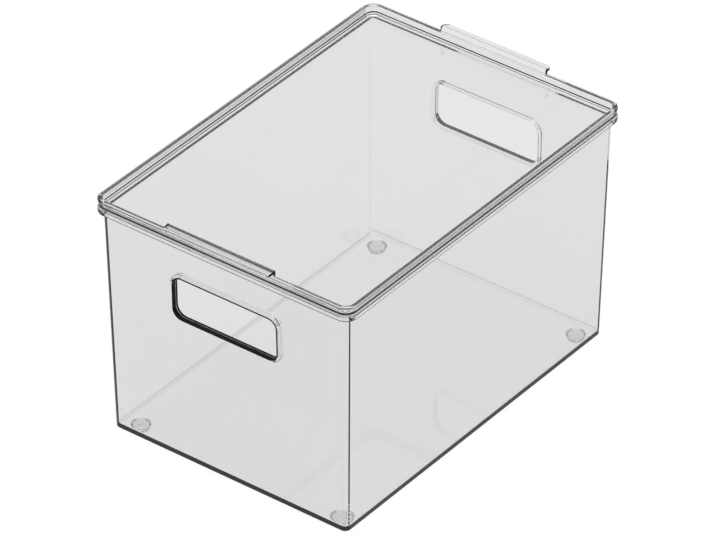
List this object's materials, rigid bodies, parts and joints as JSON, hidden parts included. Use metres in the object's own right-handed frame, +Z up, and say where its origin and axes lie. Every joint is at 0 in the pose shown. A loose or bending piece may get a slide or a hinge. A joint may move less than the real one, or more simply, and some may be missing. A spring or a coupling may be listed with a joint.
{
  "type": "storage box with lid",
  "caption": "Clear rectangular storage box with tapered walls, a rim, a handle slot in each end, round feet and a lift-off lid with a raised rim and pull tabs.",
  "frame": {"origin": "centre of the footprint, on the surface that the feet stand on", "axes": "+Z up, Y along the long sides with a handle slot and a pull tab at each end, X across the short ends"},
  "size_m": [0.2, 0.2918, 0.1838],
  "materials": {
    "clear_box": "clear polished acrylic",
    "clear_lid": "clear polished acrylic",
    "clear_foot": "clear soft plastic"
  },
  "bodies": {
    "box": {"bin_body": "clear_box", "foot_front_left": "clear_foot", "foot_front_right": "clear_foot", "foot_rear_left": "clear_foot", "foot_rear_right": "clear_foot"},
    "lid": {"lid": "clear_lid"}
  },
  "joints": [
    {"name": "lid_lift", "type": "slide", "parent": "box", "child": "lid", "axis": [0, 0, 1], "range_m": [0, 0.1]}
  ]
}
